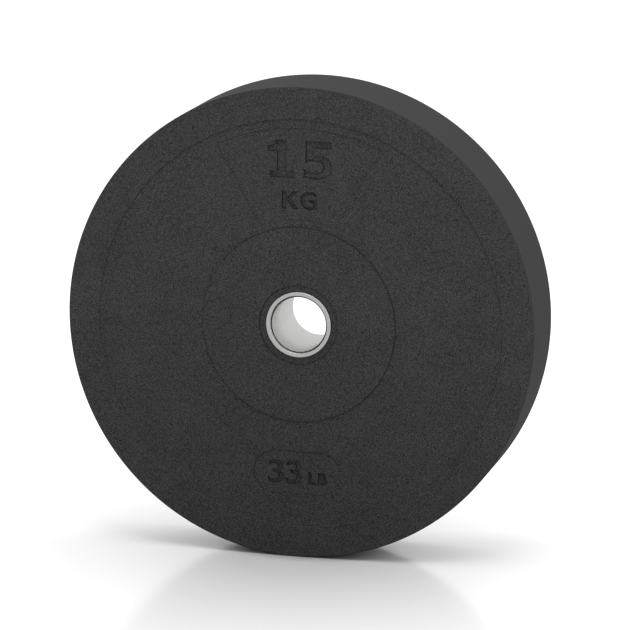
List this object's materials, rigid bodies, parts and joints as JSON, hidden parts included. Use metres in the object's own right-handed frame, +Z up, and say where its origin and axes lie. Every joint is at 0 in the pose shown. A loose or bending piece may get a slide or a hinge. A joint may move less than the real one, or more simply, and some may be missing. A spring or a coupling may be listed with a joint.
{
  "type": "bumper plate",
  "caption": "Round crumb rubber weight plate with raised rim and hub, sunk weight marks, and a steel-lined central bore for a barbell sleeve.",
  "frame": {"origin": "centre of the plate, on the bore's axis, midway between the faces", "axes": "+Y along the bore's axis, out of the back face; the front face looks along -Y; +Z up when the plate stands on its tread with its marks upright; +X to the right as seen from the front"},
  "size_m": [0.45, 0.084, 0.45],
  "materials": {
    "crumb_rubber": "matt bound crumb rubber with fine speckle",
    "satin_steel": "satin turned stainless steel",
    "mill_steel": "plain mill finish steel"
  },
  "bodies": {
    "root": {"rubber_body": "crumb_rubber", "bore_sleeve": "satin_steel", "anchor_disc": "mill_steel", "front_end_ring": "satin_steel", "back_end_ring": "satin_steel"}
  },
  "joints": []
}
